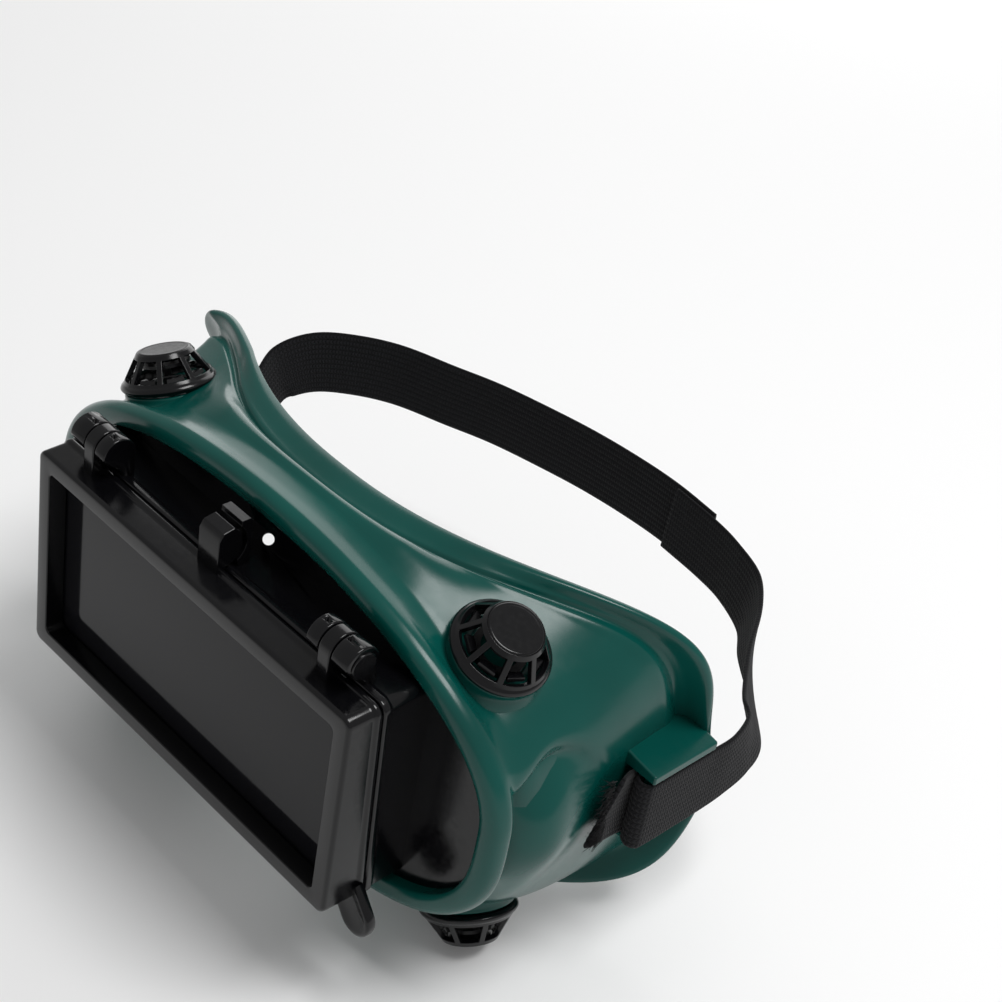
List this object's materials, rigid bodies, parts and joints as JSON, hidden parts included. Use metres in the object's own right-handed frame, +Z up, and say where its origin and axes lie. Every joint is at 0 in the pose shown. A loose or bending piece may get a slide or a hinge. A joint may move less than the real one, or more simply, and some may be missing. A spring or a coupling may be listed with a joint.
{
  "type": "flip-front welding goggles",
  "caption": "Soft green goggle mask with a rectangular flip-up lens front, round vents and an elastic headband.",
  "frame": {"origin": "middle of the face opening, level with the middle of the lens window, 70 mm behind the flat front rim", "axes": "-Y the way the wearer looks, +X the wearer's left, +Z up"},
  "size_m": [0.1786, 0.1486, 0.1039],
  "materials": {
    "soft_mask": "glossy soft vinyl",
    "black_frame": "moulded gloss",
    "black_trim": "moulded satin",
    "dark_glass": "polished dark filter",
    "clear_plate": "polished clear",
    "gasket": "matt",
    "pin_steel": "drawn wire",
    "webbing": "woven elastic"
  },
  "bodies": {
    "mask": {"mask_body": "soft_mask", "fixed_lens_frame": "black_frame", "clear_lens": "clear_plate", "lens_gasket": "gasket", "lens_retainer": "black_trim", "hinge_pin_left": "pin_steel", "hinge_pin_right": "pin_steel", "vent_cap_top_left": "black_frame", "vent_cap_top_right": "black_frame", "vent_cap_bottom_left": "black_frame", "vent_cap_bottom_right": "black_frame", "vent_stem_top_left": "black_trim", "vent_stem_top_right": "black_trim", "vent_stem_bottom_left": "black_trim", "vent_stem_bottom_right": "black_trim", "vent_baffle_top_left": "black_trim", "vent_baffle_top_right": "black_trim", "vent_baffle_bottom_left": "black_trim", "vent_baffle_bottom_right": "black_trim", "headband_short": "webbing", "headband_long": "webbing"},
    "flip_front": {"flip_frame": "black_frame", "filter_lens": "dark_glass", "filter_retainer": "black_trim"}
  },
  "joints": [
    {"name": "flip_hinge", "type": "hinge", "parent": "mask", "child": "flip_front", "pos_m": [0, -0.0617, 0.0353], "axis": [-1, 0, 0], "range_deg": [0, 110]}
  ]
}
